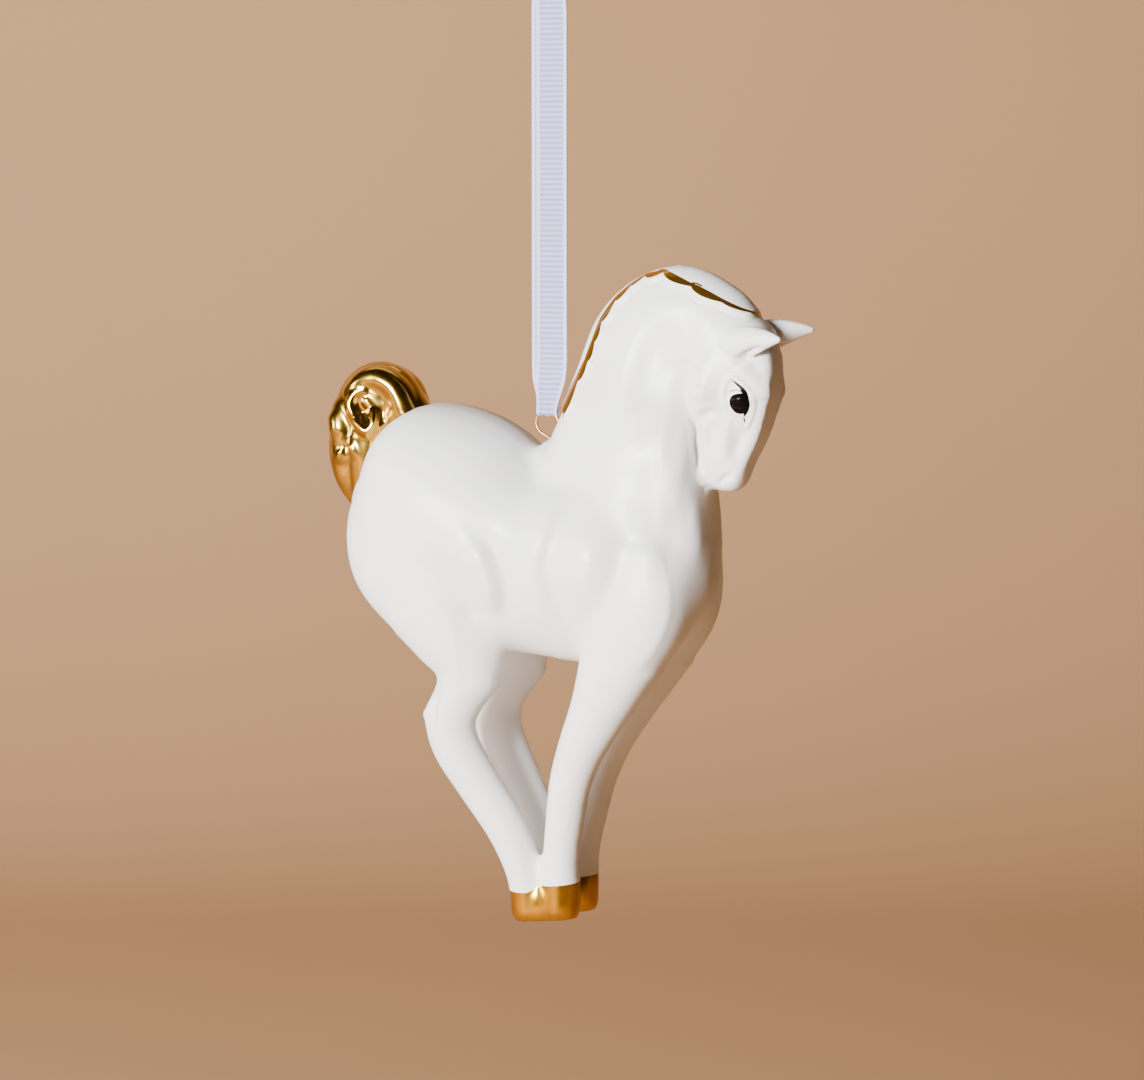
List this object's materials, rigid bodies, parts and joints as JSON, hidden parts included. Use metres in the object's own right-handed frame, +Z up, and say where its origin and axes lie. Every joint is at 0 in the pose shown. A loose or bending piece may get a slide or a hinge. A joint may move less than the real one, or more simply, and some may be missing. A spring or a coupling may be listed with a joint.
{
  "type": "hanging horse ornament",
  "caption": "White porcelain horse figurine with gilded mane edge, tied tail and hooves, hung by a thin wire eye on a folded grosgrain ribbon with a knot.",
  "frame": {"origin": "the hanging point, between the ribbon's two runs just under the knot", "axes": "+Z up, +X the way the horse faces, +Y the horse's left side"},
  "size_m": [0.0939, 0.0366, 0.198],
  "materials": {
    "porcelain": "satin white glaze, with bright gold on the mane's edge, tail and hooves and black painted eyes",
    "wire": "bright copper-coloured wire",
    "ribbon": "ribbed grosgrain weave with plain selvedges"
  },
  "bodies": {
    "root": {"horse": "porcelain", "wire_eye": "wire", "ribbon": "ribbon", "ribbon_knot": "ribbon"}
  },
  "joints": []
}
